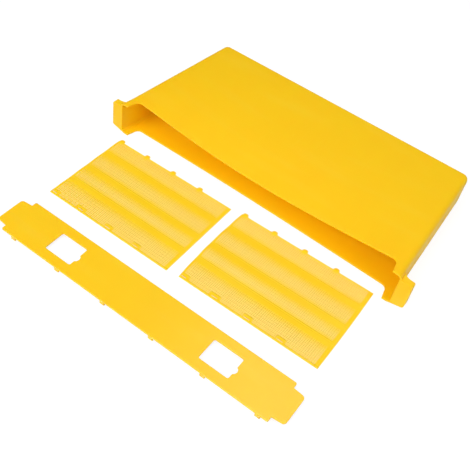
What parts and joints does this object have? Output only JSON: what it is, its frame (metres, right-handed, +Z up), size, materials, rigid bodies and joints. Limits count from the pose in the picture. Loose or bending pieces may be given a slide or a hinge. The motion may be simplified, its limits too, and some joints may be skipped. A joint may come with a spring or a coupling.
{
  "type": "in-hive frame feeder",
  "caption": "Thin yellow trough with hanging lugs, a cap strip with ladder holes, and flat mesh ladders that fold into square tubes, laid out as a kit.",
  "frame": {"origin": "on the floor that the laid-out kit lies on, under the middle of the kit's bounding box", "axes": "+X along the feeder from its left lug to its right lug, +Y from the mouth to the bottom of the trough (down when it hangs in a hive), +Z up off the floor"},
  "size_m": [0.4826, 0.4704, 0.0544],
  "materials": {
    "trough_plastic": "satin moulded",
    "cap_plastic": "satin moulded",
    "ladder_plastic": "satin moulded mesh"
  },
  "bodies": {
    "trough_body": {"trough": "trough_plastic"},
    "cap_body": {"cap": "cap_plastic"},
    "left_ladder_base": {"ladder_left_base": "ladder_plastic"},
    "left_ladder_eyelet_side": {"ladder_left_eyelet_side": "ladder_plastic"},
    "left_ladder_back_side": {"ladder_left_back_side": "ladder_plastic"},
    "left_ladder_knob_side": {"ladder_left_knob_side": "ladder_plastic"},
    "right_ladder_base": {"ladder_right_base": "ladder_plastic"},
    "right_ladder_eyelet_side": {"ladder_right_eyelet_side": "ladder_plastic"},
    "right_ladder_back_side": {"ladder_right_back_side": "ladder_plastic"},
    "right_ladder_knob_side": {"ladder_right_knob_side": "ladder_plastic"}
  },
  "joints": [
    {"name": "cap_lift", "type": "slide", "parent": "trough_body", "child": "cap_body", "axis": [0, 0, 1], "range_m": [0, 0.12]},
    {"name": "left_ladder_lift", "type": "slide", "parent": "trough_body", "child": "left_ladder_base", "axis": [0, 0, 1], "range_m": [0, 0.12]},
    {"name": "left_eyelet_fold", "type": "hinge", "parent": "left_ladder_base", "child": "left_ladder_eyelet_side", "pos_m": [-0.11004, -0.10311, 0], "axis": [-0.9996, -0.0272, 0], "range_deg": [0, 90]},
    {"name": "left_back_fold", "type": "hinge", "parent": "left_ladder_base", "child": "left_ladder_back_side", "pos_m": [-0.11088, -0.07232, 0], "axis": [0.9996, 0.0272, 0], "range_deg": [0, 90]},
    {"name": "left_knob_fold", "type": "hinge", "parent": "left_ladder_back_side", "child": "left_ladder_knob_side", "pos_m": [-0.11189, -0.03493, 0], "axis": [0.9996, 0.0272, 0], "range_deg": [0, 90]},
    {"name": "right_ladder_lift", "type": "slide", "parent": "trough_body", "child": "right_ladder_base", "axis": [0, 0, 1], "range_m": [0, 0.12]},
    {"name": "right_eyelet_fold", "type": "hinge", "parent": "right_ladder_base", "child": "right_ladder_eyelet_side", "pos_m": [0.10612, -0.09356, 0], "axis": [-0.9994, -0.0351, 0], "range_deg": [0, 90]},
    {"name": "right_back_fold", "type": "hinge", "parent": "right_ladder_base", "child": "right_ladder_back_side", "pos_m": [0.10504, -0.06278, 0], "axis": [0.9994, 0.0351, 0], "range_deg": [0, 90]},
    {"name": "right_knob_fold", "type": "hinge", "parent": "right_ladder_back_side", "child": "right_ladder_knob_side", "pos_m": [0.10373, -0.02541, 0], "axis": [0.9994, 0.0351, 0], "range_deg": [0, 90]}
  ]
}
